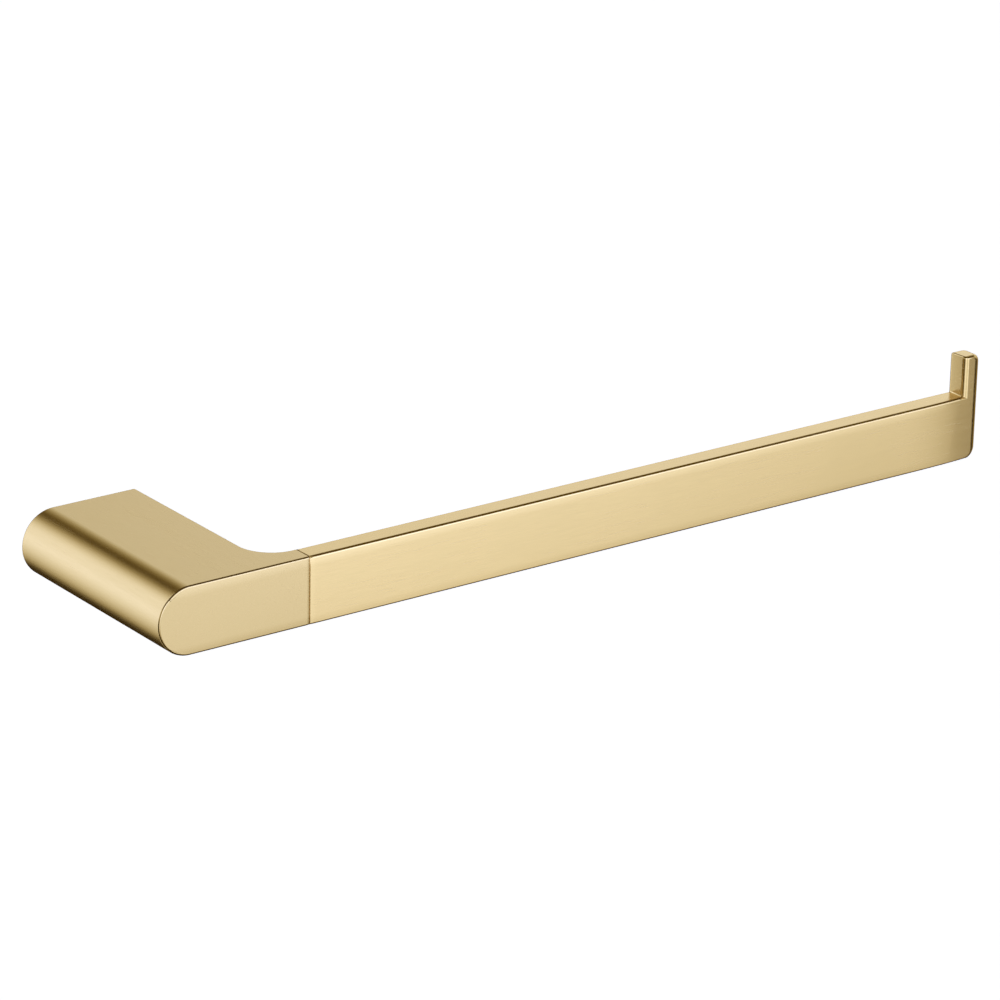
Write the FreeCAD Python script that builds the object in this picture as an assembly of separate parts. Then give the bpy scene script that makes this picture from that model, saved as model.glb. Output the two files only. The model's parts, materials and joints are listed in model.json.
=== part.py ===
"""Wall-mounted toilet paper holder: a hollow post carries one long flat arm with an upturned end.

Units are millimetres.  The origin is on the wall, midway between the two wall screw holes.
+X runs along the arm towards its upturned end, +Y points into the wall and +Z points up.
"""
import FreeCAD, Part
import math
import os
from FreeCAD import Vector

# ---- driving dimensions -------------------------------------------------------------------
height = 20.4               # post, arm and end share one height
projection = 72.0           # wall to the front of the arm
post_width = 37.7           # across the post at the wall
post_wall = 3.0             # sides of the hollow post
post_front_wall = 10.0      # solid front of the post, which holds the arm's tenon

arm_thickness = 7.2         # front to back
seam_reach = 11.5           # post's right side to the seam between post and arm
inner_fillet = 10.5         # hollow corner between the post's right side and the arm's back

tube_length = 230.0         # seam to the end piece
tube_wall = 1.5
end_length = 16.4           # end piece along the arm
tip_thickness = 7.3         # upturned part, along the arm
tip_rise = 12.7             # upturned part above the arm
end_front_round = 3.2       # outer upright edges of the end, seen from above
end_back_round = 3.0
end_top_round = 3.0         # outer corners of the end, seen from the front
end_bottom_round = 4.0
spigot_length = 12.0        # end piece inside the tube

tenon_in_arm = 25.0
tenon_in_post = 24.0
arm_screw_inset = 2.5       # screw centre to the roof or floor of the hollow post
arm_screw_from_tenon_end = 4.0

bracket_depth = 12.0        # wall bracket inside the post
bracket_clearance = 0.3     # all round, between bracket and post
wall_hole_inset = 7.55      # hole centre to the bracket's side
wall_hole_radius = 2.25     # for a 4 mm screw
countersink_radius = 4.5
groove_width = 5.0          # under the bracket, where the clamp screw presses
groove_depth = 1.5

grub_radius = 2.0           # M4 grub screws
grub_length = 4.0
hex_across_flats = 2.0
hex_depth = 1.8
thread_clearance = 0.05     # radial, threads are left plain
clamp_gap = 0.05            # between the clamp screw's tip and the bracket, so nothing overlaps
socket_clearance = 0.05     # round the tenon

# ---- places worked out from them -------------------------------------------------------------
half_height = height / 2
front = -projection
arm_back = front + arm_thickness
post_right = post_width / 2
seam = post_right + seam_reach
end_start = seam + tube_length
end_outer = end_start + end_length
tip_inner = end_outer - tip_thickness
tip_top = half_height + tip_rise
cavity_floor = front + post_front_wall
bore_thickness = arm_thickness - 2 * tube_wall
bore_height = height - 2 * tube_wall
tenon_end = seam - tenon_in_post
cavity_half_height = half_height - post_wall
arm_screw_spacing = 2 * (cavity_half_height - arm_screw_inset)
bracket_inset = post_wall + bracket_clearance
wall_screw_spacing = post_width - 2 * bracket_inset - 2 * wall_hole_inset
largest_round = 0.45 * arm_thickness    # two upright edges share the arm's thickness


def block(x0, x1, y0, y1, z0, z1):
    """Box between two opposite corners."""
    return Part.makeBox(x1 - x0, y1 - y0, z1 - z0, Vector(x0, y0, z0))


def rounded_rectangle(x0, x1, low, high, corners, plane):
    """Face with its own radius at each corner, listed from low left round through low right.

    plane places a point: it turns (x, v) into a Vector, v being depth or height.
    """
    points = [(x0, low), (x1, low), (x1, high), (x0, high)]
    edges = []
    ends = []
    for i, (x, v) in enumerate(points):
        radius = corners[i]
        before, after = points[i - 1], points[(i + 1) % 4]
        run_in = direction((x, v), before)
        run_out = direction((x, v), after)
        start = (x + radius * run_in[0], v + radius * run_in[1])
        stop = (x + radius * run_out[0], v + radius * run_out[1])
        if radius > 0:
            reach = radius * (1 - math.sqrt(0.5))
            middle = (x + reach * (run_in[0] + run_out[0]), v + reach * (run_in[1] + run_out[1]))
            edges.append(Part.Arc(plane(*start), plane(*middle), plane(*stop)).toShape())
        ends.append((start, stop))
    for i in range(4):
        a, b = ends[i][1], ends[(i + 1) % 4][0]
        if math.dist(a, b) > 1e-6:
            edges.append(Part.LineSegment(plane(*a), plane(*b)).toShape())
    return Part.Face(Part.Wire(Part.__sortEdges__(edges)))


def direction(a, b):
    """Unit step from point a to point b."""
    length = math.dist(a, b)
    return ((b[0] - a[0]) / length, (b[1] - a[1]) / length)


def seen_from_front(y):
    return lambda x, z: Vector(x, y, z)


def seen_from_above(z):
    return lambda x, y: Vector(x, y, z)


def half_round_bar(x1, inset, y0, y1):
    """Bar along Y whose left side is a full half round and whose right side, at x1, is flat."""
    radius = half_height - inset
    face = rounded_rectangle(-post_width / 2 + inset, x1, -radius, radius,
                             (radius, 0, 0, radius), seen_from_front(y0))
    return face.extrude(Vector(0, y1 - y0, 0))


def grub_screw(tip, axis):
    """Grub screw from its tip back along axis, with a hexagon socket in its far end."""
    screw = Part.makeCylinder(grub_radius, grub_length, tip, axis)
    corner = hex_across_flats / math.sqrt(3)
    side = Vector(1, 0, 0)
    across = axis.cross(side)
    mouth = tip + axis * grub_length
    ring = [mouth + side * (corner * math.cos(math.radians(60 * i)))
            + across * (corner * math.sin(math.radians(60 * i))) for i in range(7)]
    socket = Part.Face(Part.makePolygon(ring)).extrude(axis * -hex_depth)
    return screw.cut(socket)


def arm_screw_tips():
    """Where the two arm screws press on the back of the tenon."""
    x = tenon_end + arm_screw_from_tenon_end
    y = front + tube_wall + bore_thickness
    return [Vector(x, y, side * arm_screw_spacing / 2) for side in (-1, 1)]


def clamp_screw_tip():
    """Where the clamp screw presses up on the floor of the bracket's groove."""
    groove_floor = -half_height + bracket_inset + groove_depth
    return Vector(0, -bracket_depth / 2, groove_floor - clamp_gap)


def make_post():
    """Cast post: hollow from the wall, solid in front, with a short stub that the arm meets."""
    body = half_round_bar(post_right, 0, front, 0)
    stub = block(post_right, seam, front, arm_back, -half_height, half_height)
    corner = block(post_right, post_right + inner_fillet, arm_back, arm_back + inner_fillet,
                   -half_height, half_height)
    scoop = Part.makeCylinder(inner_fillet, height + 2,
                              Vector(post_right + inner_fillet, arm_back + inner_fillet, -half_height - 1))
    post = body.fuse(stub).fuse(corner.cut(scoop))
    post = post.cut(half_round_bar(post_right - post_wall, post_wall, cavity_floor, 1))
    gap = socket_clearance
    post = post.cut(block(tenon_end - gap, seam + 1, front + tube_wall, front + tube_wall + bore_thickness,
                          -bore_height / 2 - gap, bore_height / 2 + gap))
    for tip in arm_screw_tips():
        post = post.cut(Part.makeCylinder(grub_radius + thread_clearance, post_front_wall, tip, Vector(0, 1, 0)))
    tip = clamp_screw_tip()
    post = post.cut(Part.makeCylinder(grub_radius + thread_clearance, height, tip, Vector(0, 0, -1)))
    return post.removeSplitter()


def make_arm_tube():
    """Flat rectangular tube from the seam to the end piece."""
    outside = block(seam, end_start, front, arm_back, -half_height, half_height)
    bore = block(seam - 1, end_start + 1, front + tube_wall, arm_back - tube_wall,
                 -bore_height / 2, bore_height / 2)
    return outside.cut(bore)


def make_arm_tenon():
    """Flat bar brazed into the tube, which slides into the post's socket."""
    return block(tenon_end, seam + tenon_in_arm, front + tube_wall, arm_back - tube_wall,
                 -bore_height / 2, bore_height / 2)


def make_end_stop():
    """Upturned end of the arm, with a spigot brazed into the tube."""
    corners = (0, end_bottom_round, end_top_round, 0)
    seen_front = rounded_rectangle(end_start, end_outer, -half_height, tip_top, corners,
                                   seen_from_front(front - 1)).extrude(Vector(0, arm_thickness + 2, 0))
    rounds = [min(size, largest_round) for size in (end_front_round, end_back_round)]
    plan = rounded_rectangle(end_start, end_outer, front, arm_back, (0, *rounds, 0),
                             seen_from_above(-half_height - 1)).extrude(Vector(0, 0, height + tip_rise + 2))
    end = seen_front.common(plan)
    end = end.cut(block(end_start - 1, tip_inner, front - 1, arm_back + 1, half_height, tip_top + 1))
    spigot = block(end_start - spigot_length, end_start, front + tube_wall, arm_back - tube_wall,
                   -bore_height / 2, bore_height / 2)
    return end.fuse(spigot).removeSplitter()


def make_wall_bracket():
    """Block screwed to the wall, which the post slides over."""
    bracket = half_round_bar(post_right - bracket_inset, bracket_inset, -bracket_depth, 0)
    bottom = -half_height + bracket_inset
    bracket = bracket.cut(block(-groove_width / 2, groove_width / 2, -bracket_depth - 1, 1,
                                bottom - 1, bottom + groove_depth))
    sink = countersink_radius - wall_hole_radius
    for side in (-1, 1):
        x = side * wall_screw_spacing / 2
        hole = Part.makeCylinder(wall_hole_radius, bracket_depth + 2, Vector(x, 1, 0), Vector(0, -1, 0))
        cone = Part.makeCone(wall_hole_radius, countersink_radius, sink,
                             Vector(x, -bracket_depth + sink, 0), Vector(0, -1, 0))
        bracket = bracket.cut(hole).cut(cone)
    return bracket


def make_arm_screws():
    """The two grub screws that hold the tenon, reached through the hollow post."""
    return Part.makeCompound([grub_screw(tip, Vector(0, 1, 0)) for tip in arm_screw_tips()])


def make_clamp_screw():
    """Grub screw under the post that clamps it to the bracket."""
    return grub_screw(clamp_screw_tip(), Vector(0, 0, -1))


parts = {
    "post": make_post,
    "arm_tube": make_arm_tube,
    "arm_tenon": make_arm_tenon,
    "end_stop": make_end_stop,
    "wall_bracket": make_wall_bracket,
    "arm_screws": make_arm_screws,
    "clamp_screw": make_clamp_screw,
}

os.makedirs("parts", exist_ok=True)
for name, make in parts.items():
    shape = make()
    shape.exportStep(f"parts/{name}.step")
    print(name, "solids", len(shape.Solids), "valid", shape.isValid(), "volume", round(shape.Volume, 1))
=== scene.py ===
import json
import math
import bmesh
import bpy
from mathutils import Matrix, Vector


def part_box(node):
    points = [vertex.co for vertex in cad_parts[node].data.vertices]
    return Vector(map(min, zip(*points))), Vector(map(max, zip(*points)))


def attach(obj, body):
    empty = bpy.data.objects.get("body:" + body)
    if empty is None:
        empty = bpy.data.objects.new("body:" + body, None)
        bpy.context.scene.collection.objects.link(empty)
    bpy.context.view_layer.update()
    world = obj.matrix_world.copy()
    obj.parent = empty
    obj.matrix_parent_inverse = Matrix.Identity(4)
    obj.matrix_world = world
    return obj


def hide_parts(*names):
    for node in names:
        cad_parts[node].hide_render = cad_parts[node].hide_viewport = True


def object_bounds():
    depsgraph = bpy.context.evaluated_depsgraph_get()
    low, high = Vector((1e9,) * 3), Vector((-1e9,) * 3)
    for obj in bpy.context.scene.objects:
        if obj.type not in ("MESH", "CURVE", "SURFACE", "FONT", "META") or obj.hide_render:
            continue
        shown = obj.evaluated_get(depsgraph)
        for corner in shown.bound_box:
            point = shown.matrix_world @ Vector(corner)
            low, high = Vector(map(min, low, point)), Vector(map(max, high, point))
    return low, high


# Wall-mounted toilet paper holder in brushed pale-gold brass: a hollow post that slides over a
# steel wall bracket, and a long flat arm with an upturned end. Metres, +X along the arm,
# +Y into the wall, +Z up, with the origin on the wall midway between the two wall screws.
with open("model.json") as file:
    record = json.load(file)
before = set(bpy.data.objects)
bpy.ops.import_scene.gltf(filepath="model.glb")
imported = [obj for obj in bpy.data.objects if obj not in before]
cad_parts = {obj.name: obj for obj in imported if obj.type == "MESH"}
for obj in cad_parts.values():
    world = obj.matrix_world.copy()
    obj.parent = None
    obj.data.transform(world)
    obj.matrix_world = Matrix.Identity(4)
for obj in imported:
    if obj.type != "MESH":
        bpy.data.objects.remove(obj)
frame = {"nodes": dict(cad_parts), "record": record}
cad_low, cad_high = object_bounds()


# ---- post ------------------------------------------------------------------------------------
# Cast brass post, hollow from the wall, with a half-round left side. A short stub on its right
# meets the arm, and a hollow corner runs into it. Ground, brushed lengthwise, its edges broken.
post_low, post_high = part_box("post")
arm_low, arm_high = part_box("arm_tube")
tenon_low, tenon_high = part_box("arm_tenon")
post_right = -post_low.x
post_wall = 0.003
front_wall = 0.010
inner_fillet = 0.0105
socket_clearance = 0.00005
grub_radius = 0.00205
broken_edge = 0.0006
seam_edge = 0.00015
hole_edge = 0.0002
crown_height = post_high.z * math.cos(math.radians(45))
crown_seam = 0.00095
crown = 0.00016
front_band = 0.0005
crown_merge = 0.00002
same_length = 0.00001
sharp_angle = math.radians(30)
straight = 0.999
drill_facets = 48
brass_colour = (0.84, 0.657, 0.337)
cast_tone = 0.85


def add_block(name, low, high):
    """Adds a block between two opposite corners and opens it in edit mode."""
    low, high = Vector(low), Vector(high)
    bpy.ops.object.select_all(action="DESELECT")
    bpy.ops.mesh.primitive_cube_add(size=1, location=(low + high) / 2, scale=high - low)
    piece = bpy.context.object
    piece.name = piece.data.name = name
    bpy.ops.object.transform_apply(location=True, rotation=True, scale=True)
    bpy.ops.object.mode_set(mode="EDIT")
    return piece


def pick_faces(test):
    """Selects only the faces whose centre and normal pass the test."""
    bpy.ops.mesh.select_mode(type="FACE")
    bpy.ops.mesh.select_all(action="DESELECT")
    data = bpy.context.object.data
    for face in bmesh.from_edit_mesh(data).faces:
        face.select_set(test(face.calc_center_median(), face.normal))
    bmesh.update_edit_mesh(data)


def pick_edges(test):
    """Selects only the edges whose two ends pass the test."""
    bpy.ops.mesh.select_mode(type="EDGE")
    bpy.ops.mesh.select_all(action="DESELECT")
    data = bpy.context.object.data
    for edge in bmesh.from_edit_mesh(data).edges:
        edge.select_set(test(*(vertex.co for vertex in edge.verts)))
    bmesh.update_edit_mesh(data)


def near(a, b):
    """True if two lengths are the same to a hundredth of a millimetre."""
    return abs(a - b) < same_length


def round_edges(radius, segments):
    """Rounds the selected edges."""
    bpy.ops.mesh.bevel(offset=radius, segments=segments, affect="EDGES", clamp_overlap=False)
    bpy.ops.mesh.select_all(action="SELECT")
    bpy.ops.mesh.remove_doubles(threshold=0.000001)


def split_at(point, normal, test=lambda centre, normal: True):
    """Cuts the faces that pass the test along a plane."""
    pick_faces(test)
    bpy.ops.mesh.bisect(plane_co=point, plane_no=normal)


def pull(x=0, y=0, z=0):
    """Extrudes the selected faces by a step."""
    bpy.ops.mesh.extrude_region_move(TRANSFORM_OT_translate={"value": (x, y, z)})


def join_flat_faces():
    """Makes one face of neighbours that lie in one plane."""
    bpy.ops.mesh.select_all(action="SELECT")
    bpy.ops.mesh.dissolve_limited(angle_limit=math.radians(0.5))


def close_edit():
    """Leaves edit mode with every face pointing outwards."""
    bpy.ops.mesh.select_all(action="SELECT")
    bpy.ops.mesh.normals_make_consistent(inside=False)
    bpy.ops.object.mode_set(mode="OBJECT")


def apply_modifier(piece, kind, **settings):
    """Adds a modifier with its settings and applies it."""
    bpy.context.view_layer.objects.active = piece
    modifier = piece.modifiers.new(kind, kind)
    for key, value in settings.items():
        setattr(modifier, key, value)
    bpy.ops.object.modifier_apply(modifier=kind)


def cut_away(piece, cutter):
    """Cuts the shape of a cutter out of a piece and removes the cutter."""
    apply_modifier(piece, "BOOLEAN", operation="DIFFERENCE", solver="EXACT", object=cutter)
    bpy.data.objects.remove(cutter)


def add_drill(start, stop, radius, end_radius=None):
    """Adds a round cutter from start to stop, or a cone if its far radius differs."""
    bpy.ops.object.select_all(action="DESELECT")
    start, stop = Vector(start), Vector(stop)
    turn = Vector((0, 0, 1)).rotation_difference(stop - start).to_euler()
    bpy.ops.mesh.primitive_cone_add(vertices=drill_facets, radius1=radius, radius2=end_radius or radius,
                                    depth=(stop - start).length, location=(start + stop) / 2,
                                    rotation=turn)
    bpy.ops.object.transform_apply(location=True, rotation=True, scale=True)
    return bpy.context.object


def soften(piece, radius_of, segments):
    """Rounds each sharp edge by the radius that radius_of gives for its middle and its direction."""
    data = piece.data
    shape = bmesh.new()
    shape.from_mesh(data)
    weights = shape.edges.layers.float.new("bevel_weight_edge")
    for edge in shape.edges:
        if edge.calc_face_angle(0) > sharp_angle:
            a, b = (vertex.co for vertex in edge.verts)
            edge[weights] = radius_of((a + b) / 2, (b - a).normalized())
    largest = max(edge[weights] for edge in shape.edges)
    for edge in shape.edges:
        edge[weights] /= largest
    shape.to_mesh(data)
    shape.free()
    apply_modifier(piece, "BEVEL", width=largest, segments=segments, limit_method="WEIGHT",
                   use_clamp_overlap=False)
    data.shade_smooth()
    apply_modifier(piece, "WEIGHTED_NORMAL", weight=50)


def post_edge_radius(middle, along):
    """The outer edges are broken by hand, and the seam and the holes are only deburred."""
    if near(middle.x, arm_low.x):
        return seam_edge
    if middle.y < post_low.y + front_band or near(middle.z, post_high.z) or near(middle.y, post_high.y):
        return broken_edge
    if near(middle.z, post_low.z) and max(abs(along.x), abs(along.y)) > straight:
        return broken_edge
    return hole_edge


class Wire:
    """A socket in a node tree. Arithmetic on it adds Math nodes, and node() adds any other."""

    def __init__(self, tree, socket=None):
        self.tree, self.socket = tree, socket

    def node(self, kind, settings={}, sockets={}, output=0):
        made = self.tree.nodes.new("ShaderNode" + kind)
        for key, value in settings.items():
            setattr(made, key, value)
        for key, value in sockets.items():
            if isinstance(value, Wire):
                self.tree.links.new(value.socket, made.inputs[key])
            else:
                made.inputs[key].default_value = value
        return Wire(self.tree, made.outputs[output])

    def math(self, operation, *values):
        return self.node("Math", {"operation": operation}, dict(enumerate(values)))

    def __add__(self, other):
        return self.math("ADD", self, other)

    def __sub__(self, other):
        return self.math("SUBTRACT", self, other)

    def __rsub__(self, other):
        return self.math("SUBTRACT", other, self)

    def __mul__(self, other):
        return self.math("MULTIPLY", self, other)

    __radd__ = __add__
    __rmul__ = __mul__

    def ramp(self, low, high):
        """Goes smoothly from 0 to 1 as the value goes from low to high."""
        return self.node("MapRange", {"interpolation_type": "SMOOTHSTEP"},
                         {"Value": self, "From Min": low, "From Max": high})

    def band(self, low, full, fade, high):
        """Is 1 from full to fade, and goes smoothly to 0 at low and at high."""
        return self.ramp(low, full) * (1 - self.ramp(fade, high))


def noise(place, scale):
    """Noise of about one swing per 1/scale metres along each axis."""
    stretched = place.node("Mapping", {}, {"Vector": place, "Scale": scale})
    sockets = {"Vector": stretched, "Scale": 1.0, "Detail": 2.0, "Roughness": 0.55}
    return place.node("TexNoise", {}, sockets)


def new_material(name, **constants):
    """A metal whose constant values are set on the shader's own sockets."""
    material = bpy.data.materials.new(name)
    material.use_nodes = True
    shader = material.node_tree.nodes["Principled BSDF"]
    shader.inputs["Metallic"].default_value = 1.0
    for key, value in constants.items():
        shader.inputs[key].default_value = value
    return material, shader, Wire(material.node_tree)


def brushed_brass(name, tone, along):
    """Satin brass, brushed along one axis: fine scratches, broader streaks and faint clouding."""
    material, shader, wire = new_material(name)
    place = wire.node("TexCoord", output="Object")
    scratches = noise(place, [160 if axis == along else 5200 for axis in "XYZ"])
    streaks = noise(place, [22 if axis == along else 800 for axis in "XYZ"])
    clouds = noise(place, (38, 38, 38))
    shade = 0.985 + (streaks - 0.5) * 0.06 + (clouds - 0.5) * 0.10
    colour = wire.node("VectorMath", {"operation": "SCALE"},
                       {0: [channel * tone for channel in brass_colour], "Scale": shade})
    roughness = 0.25 + (streaks - 0.5) * 0.06 + (scratches - 0.5) * 0.10 + (clouds - 0.5) * 0.05
    relief = scratches * 0.35 + streaks * 0.65
    bump = wire.node("Bump", {}, {"Height": relief, "Strength": 1.0, "Distance": 0.0000016})
    for key, value in (("Base Color", colour), ("Roughness", roughness), ("Normal", bump)):
        wire.tree.links.new(value.socket, shader.inputs[key])
    return material


post = add_block("cast_post", post_low, (post_right, post_high.y, post_high.z))
pick_edges(lambda a, b: near(a.x, post_low.x) and near(b.x, post_low.x) and near(a.z, b.z))
round_edges(post_high.z, 24)
split_at((0, arm_high.y, 0), (0, 1, 0))
pick_faces(lambda centre, normal: normal.x > 0.9 and centre.y < arm_high.y)
pull(x=arm_low.x - post_right)
join_flat_faces()
pick_edges(lambda a, b: all(near(p.x, post_right) and near(p.y, arm_high.y) for p in (a, b)))
round_edges(inner_fillet, 20)
pick_faces(lambda centre, normal: normal.y > 0.9 and near(centre.y, post_high.y))
bpy.ops.mesh.inset(thickness=post_wall)
pull(y=post_low.y + front_wall - post_high.y)
split_at((0, 0, crown_height), (0, 0, 1))
split_at((0, 0, -crown_height), (0, 0, 1))
split_at((arm_low.x - crown_seam, 0, 0), (1, 0, 0))
bpy.ops.mesh.select_all(action="SELECT")
bpy.ops.mesh.remove_doubles(threshold=crown_merge)
close_edit()
for vertex in post.data.vertices:
    if near(vertex.co.y, post_low.y):
        depth = crown if vertex.co.z > 0 else crown / 2
        vertex.co.y += depth * max(0, (abs(vertex.co.z) - crown_height) / (post_high.z - crown_height))
        vertex.co.y += crown / 2 * max(0, (vertex.co.x - arm_low.x) / crown_seam + 1)

gap = Vector((socket_clearance, 0, socket_clearance))
socket_end = Vector((arm_low.x + front_wall, tenon_high.y, tenon_high.z))
socket = add_block("socket", tenon_low - gap, socket_end + Vector((0, 0, socket_clearance)))
close_edit()
cut_away(post, socket)
screws_low, screws_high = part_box("arm_screws")
screw_x = (screws_low.x + screws_high.x) / 2
screw_z = screws_high.z - (screws_high.x - screws_low.x) / 2
for side in (-1, 1):
    bore = add_drill((screw_x, screws_low.y, side * screw_z),
                     (screw_x, post_low.y + front_wall + post_wall, side * screw_z), grub_radius)
    cut_away(post, bore)
clamp_low, clamp_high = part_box("clamp_screw")
clamp_y = (clamp_low.y + clamp_high.y) / 2
cut_away(post, add_drill((0, clamp_y, clamp_high.z), (0, clamp_y, post_low.z - post_wall), grub_radius))
soften(post, post_edge_radius, 4)
post.data.materials.append(brushed_brass("post_brass", cast_tone, "Y"))
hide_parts("post")
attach(post, "holder")


# ---- arm -------------------------------------------------------------------------------------
# Flat brass tube whose end is turned up. The end piece is brazed on and ground flush, so arm and
# end are one surface, brushed along the arm, with the free end rounded off by the polishing wheel.
end_low, end_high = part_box("end_stop")
tip_thickness = 0.0073
top_corner = 0.003
bottom_corner = 0.004
outer_round = 0.0029
worn_length = 0.032
worn_step = 0.004
worn_count = 6
worn_bend = 0.00075
worn_growth = 1.6
last_bend_gap = 0.00105
draft = 0.0005
arm_top_edge = 0.0008
arm_bottom_edge = 0.0006
seam_gap = 0.00025
seam_depth = 0.0005
inner_front_round = 0.0015
inner_back_round = 0.001
tip_top_round = 0.0007
root_round = 0.0004
face_band = 0.0003
tube_wall = 0.0015
tip_inner = end_high.x - tip_thickness


def arm_edge_radius(middle, along):
    """Small all over, and large on the upright edges of the free end, fading round its corners."""
    inside = (abs(middle.z) < arm_high.z - face_band
              and arm_low.y + face_band < middle.y < arm_high.y - face_band)
    if inside and middle.x < tip_inner - 0.001:
        return seam_edge / 3
    if middle.x < arm_low.x + seam_gap + same_length:
        return seam_edge
    if abs(middle.x - tip_inner) < draft + 0.0001 and abs(along.x) < 0.5:
        if abs(along.z) > 0.9:
            return inner_back_round if near(middle.y, arm_high.y) else inner_front_round
        return tip_top_round if near(middle.z, end_high.z) else root_round
    flat = arm_top_edge if middle.z > 0 else arm_bottom_edge
    corner, corner_z = ((top_corner, end_high.z - top_corner) if middle.z > arm_high.z
                        else (bottom_corner, end_low.z + bottom_corner))
    across = middle.x - (end_high.x - corner)
    if across <= 0:
        return flat
    climb = max(0, (middle.z - corner_z) if middle.z > arm_high.z else (corner_z - middle.z))
    turn = math.atan2(climb, across) / math.radians(90)
    return outer_round + (flat - outer_round) * turn


arm = add_block("flat_arm", arm_low + Vector((seam_gap, 0, 0)), (end_high.x, arm_high.y, arm_high.z))
split_at((tip_inner, 0, 0), (1, 0, 0))
pick_faces(lambda centre, normal: normal.z > 0.9 and centre.x > tip_inner)
pull(z=end_high.z - arm_high.z)
join_flat_faces()
for corner_height, corner_radius in ((end_high.z, top_corner), (end_low.z, bottom_corner)):
    pick_edges(lambda a, b: all(near(p.x, end_high.x) and near(p.z, corner_height) for p in (a, b)))
    round_edges(corner_radius, 12)
bends = [end_high.x - worn_length + step * worn_step for step in range(worn_count)]
bends.append(tip_inner - last_bend_gap)
for x in bends:
    split_at((x, 0, 0), (1, 0, 0))
for height in (-crown_height, crown_height):
    split_at((0, 0, height), (0, 0, 1), lambda centre, normal: centre.x < bends[-2])
split_at((arm_low.x + seam_gap + 2 * crown_seam, 0, 0), (1, 0, 0))
pick_faces(lambda centre, normal: normal.x < -0.9 and near(centre.x, arm_low.x + seam_gap))
bpy.ops.mesh.inset(thickness=seam_depth)
pull(x=-seam_gap)
bpy.ops.mesh.inset(thickness=tube_wall - seam_depth)
pull(x=end_low.x - arm_low.x)
close_edit()
for vertex in arm.data.vertices:
    x, y, z = vertex.co
    if near(y, arm_low.y):
        vertex.co.y += sum(worn_bend * (i + 1) ** worn_growth * max(0, x - bend)
                           for i, bend in enumerate(bends))
        vertex.co.y += crown / 2 * max(0, 1 - (x - arm_low.x - seam_gap) / (2 * crown_seam))
        if near(abs(z), arm_high.z):
            depth = crown if z > 0 else crown / 2
            vertex.co.y += depth * min(1, max(0, (bends[-2] - x) / (bends[-2] - bends[0])))
        if near(x, tip_inner) and z > arm_high.z - same_length:
            vertex.co.x += draft
soften(arm, arm_edge_radius, 6)
arm.data.materials.append(brushed_brass("arm_brass", 0.98, "X"))
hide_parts("arm_tube", "end_stop")
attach(arm, "holder")


# ---- wall bracket ----------------------------------------------------------------------------
# Machined steel block that two countersunk screws hold on the wall. The post slides over it, and
# the clamp screw presses up into the groove along its underside.
bracket_low, bracket_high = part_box("wall_bracket")
screws = next(m for m in frame["record"]["mounts"] if m["name"] == "wall_screws")["dims"]
screw_hole = screws["hole_r_mm"] / 1000
screw_spacing = screws["spacing_x_mm"] / 1000
countersink = 0.0045
groove_width = 0.005
groove_depth = 0.0015
bracket_edge = 0.0003
overshoot = 0.0015


def milled_steel(name, colour, roughness, along, marks):
    """Bare steel with the fine straight marks of its last tool and a faint cloudy tarnish."""
    material, shader, wire = new_material(name)
    place = wire.node("TexCoord", output="Object")
    lines = noise(place, [60 if axis == along else marks for axis in "XYZ"])
    clouds = noise(place, (70, 70, 70))
    tint = wire.node("VectorMath", {"operation": "SCALE"},
                     {0: colour, "Scale": 0.97 + (clouds - 0.5) * 0.25})
    rough = roughness + (lines - 0.5) * 0.15 + (clouds - 0.5) * 0.12
    bump = wire.node("Bump", {}, {"Height": lines, "Strength": 1.0, "Distance": 0.000006})
    for key, value in (("Base Color", tint), ("Roughness", rough), ("Normal", bump)):
        wire.tree.links.new(value.socket, shader.inputs[key])
    return material


bracket = add_block("bracket_block", bracket_low, bracket_high)
pick_edges(lambda a, b: near(a.x, bracket_low.x) and near(b.x, bracket_low.x) and near(a.z, b.z))
round_edges(bracket_high.z, 20)
close_edit()
groove_start = (-groove_width / 2, bracket_low.y - overshoot, bracket_low.z - overshoot)
groove_end = (groove_width / 2, bracket_high.y + overshoot, bracket_low.z + groove_depth)
groove = add_block("groove", groove_start, groove_end)
close_edit()
cut_away(bracket, groove)
for side in (-1, 1):
    x = side * screw_spacing / 2
    hole = add_drill((x, bracket_low.y - overshoot, 0), (x, bracket_high.y + overshoot, 0), screw_hole)
    cut_away(bracket, hole)
    sink_depth = countersink - screw_hole
    cone = add_drill((x, bracket_low.y - sink_depth, 0), (x, bracket_low.y + sink_depth, 0),
                     countersink + sink_depth, screw_hole)
    cut_away(bracket, cone)
soften(bracket, lambda middle, along: bracket_edge, 3)
bracket.data.materials.append(milled_steel("bracket_steel_finish", (0.56, 0.57, 0.58), 0.32, "X", 2500))
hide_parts("wall_bracket")
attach(bracket, "bracket")


# ---- tenon and grub screws -------------------------------------------------------------------
# A drawn flat steel bar joins arm and post inside, and three dark stainless M4 grub screws with
# hexagon sockets hold it and clamp the post to its bracket. They keep their own shapes.
finishes = {
    "arm_tenon": milled_steel("tenon_steel_finish", (0.60, 0.60, 0.61), 0.35, "X", 1800),
    "arm_screws": milled_steel("screw_steel_finish", (0.32, 0.32, 0.34), 0.38, "Y", 2600),
}
finishes["clamp_screw"] = finishes["arm_screws"]
for node, finish in finishes.items():
    frame["nodes"][node].data.materials.clear()
    frame["nodes"][node].data.materials.append(finish)


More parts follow.
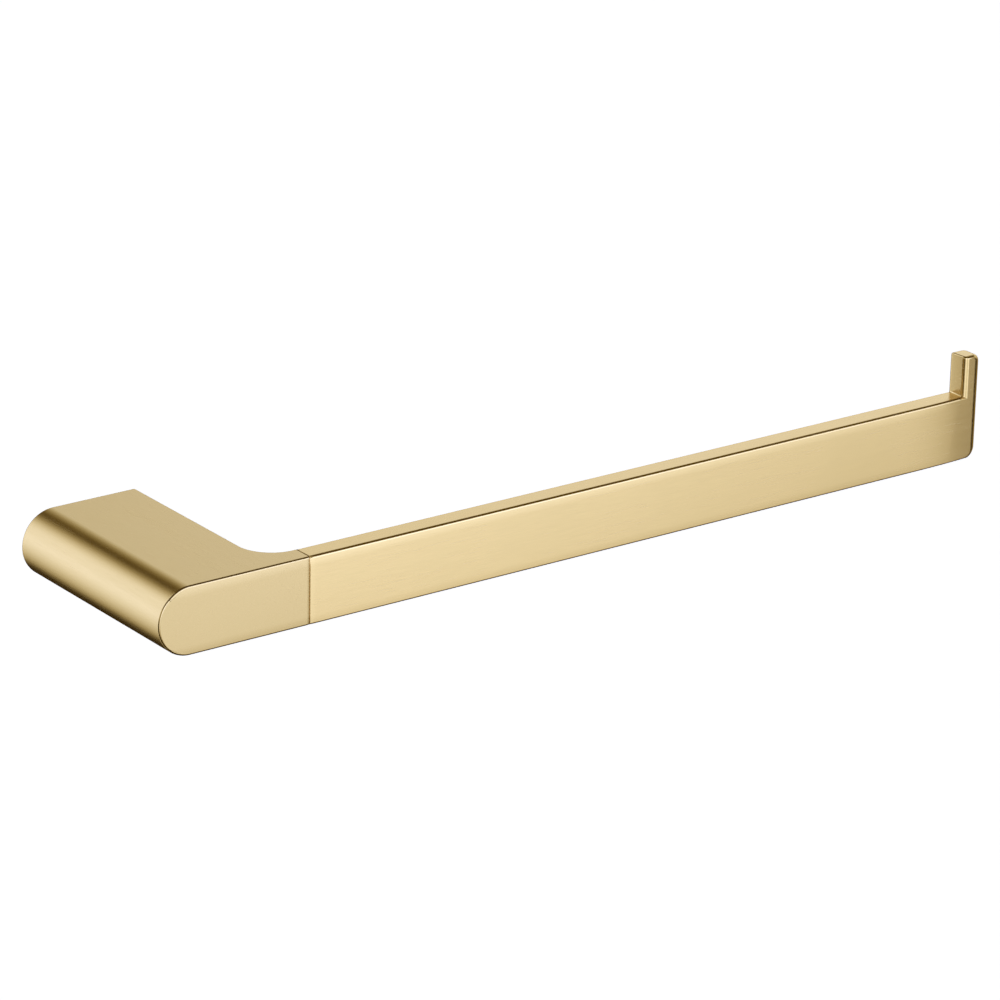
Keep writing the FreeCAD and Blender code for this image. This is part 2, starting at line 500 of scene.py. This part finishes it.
# ---- floor -----------------------------------------------------------------------------------
# Plain pale floor well below the holder. It gives off most of its own light, so that it stays
# even, and it doesn't mirror in the metal.
floor_drop = 0.35
floor_size = 40
bpy.ops.object.select_all(action="DESELECT")
bpy.ops.mesh.primitive_plane_add(size=floor_size, location=(0, 0, cad_low.z - floor_drop))
floor = bpy.context.object
floor.name = "floor"
floor.visible_glossy = False
pale = bpy.data.materials.new("pale_floor")
pale.use_nodes = True
pale_shader = pale.node_tree.nodes["Principled BSDF"]
for key, value in (("Base Color", (0.8, 0.8, 0.8, 1)), ("Roughness", 0.9), ("Specular IOR Level", 0.0),
                   ("Emission Color", (0.97, 1, 1.06, 1)), ("Emission Strength", 0.76)):
    pale_shader.inputs[key].default_value = value
floor.data.materials.append(pale)


# ---- studio light ----------------------------------------------------------------------------
# Soft boxes stand round the holder: large ones in front, behind on the left and behind on the
# right, and weaker ones at both sides and low on the right. Between them is a dim warm room. The
# camera itself sees plain white. A bearing of 0 is behind the holder, and 90 is on its right.
room_glow = 0.03
ceiling_glow = 0.05
green_power = 1.19
blue_power = 1.87
world = bpy.data.worlds.new("studio")
bpy.context.scene.world = world
world.use_nodes = True
light = Wire(world.node_tree)
way = light.node("TexCoord", output="Generated")
parts = way.node("SeparateXYZ", {}, {0: way})
x, y, z = (Wire(world.node_tree, parts.socket.node.outputs[axis]) for axis in "XYZ")
height = z.math("ARCSINE", z) * math.degrees(1)
bearing = x.math("ARCTAN2", x, y) * math.degrees(1)
back_left = (1.5 * bearing.band(-90, -62, -42, 6) * (0.1 + 0.9 * bearing.ramp(-59, -43))
             * (0.55 + 0.45 * height.ramp(-50, 14)) * (1 - height.ramp(45, 70)))
back_left = back_left * (1 - bearing.ramp(-16, 2) * (1 - height.ramp(-34, -10)))
back_left = back_left * (1 - 0.5 * height.ramp(2, 22) * (1 - bearing.ramp(-46, -34)))
back_right = 0.95 * bearing.band(2, 40, 60, 100) * height.band(-6, 12, 24, 48)
low_right = 0.3 * bearing.band(38, 52, 80, 110) * height.band(-40, -25, -6, 12)
front = ((bearing.ramp(123, 146) + 1 - bearing.ramp(-150, -112)) * (1.37 + 0.45 * height.ramp(-10, 8))
         * height.band(-52, -12, 20, 42))
front = front * (1 - 0.32 * (bearing.ramp(156, 172) + 1 - bearing.ramp(-172, -156)))
sides = bearing.band(60, 85, 110, 130) + bearing.band(-125, -105, -80, -60)
sides = 0.6 * sides * height.band(-12, 2, 20, 35)
glow = room_glow + ceiling_glow * height.ramp(15, 40) + back_left + back_right + low_right + front + sides
green = glow.math("POWER", glow, green_power)
blue = glow.math("POWER", glow, blue_power)
radiance = light.node("CombineXYZ", {}, {0: glow, 1: green, 2: blue})
seen = light.node("LightPath", output="Is Camera Ray")
shown = light.node("Mix", {"data_type": "RGBA"}, {0: seen, 6: radiance, 7: (1, 1, 1, 1)}, output=2)
background = world.node_tree.nodes["Background"]
light.tree.links.new(shown.socket, background.inputs["Color"])
bpy.context.scene.view_settings.view_transform = "Standard"


# ---- camera ----------------------------------------------------------------------------------
# Long lens, in front of the holder on its left and above it, turned a little about its own axis.
aim = Vector((0.09517, post_low.y, 0.01345))
distance = 1.3574
lens = 172.93
camera_turn = math.radians(36.658)
camera_tilt = math.radians(20.751)
camera_roll = math.radians(1.195)
camera_data = bpy.data.cameras.new("camera")
camera_data.sensor_width = 36
camera_data.lens = lens
camera_data.clip_end = 100
camera = bpy.data.objects.new("camera", camera_data)
bpy.context.scene.collection.objects.link(camera)
aimed = (Matrix.Rotation(-camera_turn, 4, "Z") @ Matrix.Rotation(math.radians(90) - camera_tilt, 4, "X")
         @ Matrix.Rotation(camera_roll, 4, "Z"))
camera.matrix_world = Matrix.Translation(aim + aimed.to_3x3() @ Vector((0, 0, distance))) @ aimed
bpy.context.scene.camera = camera
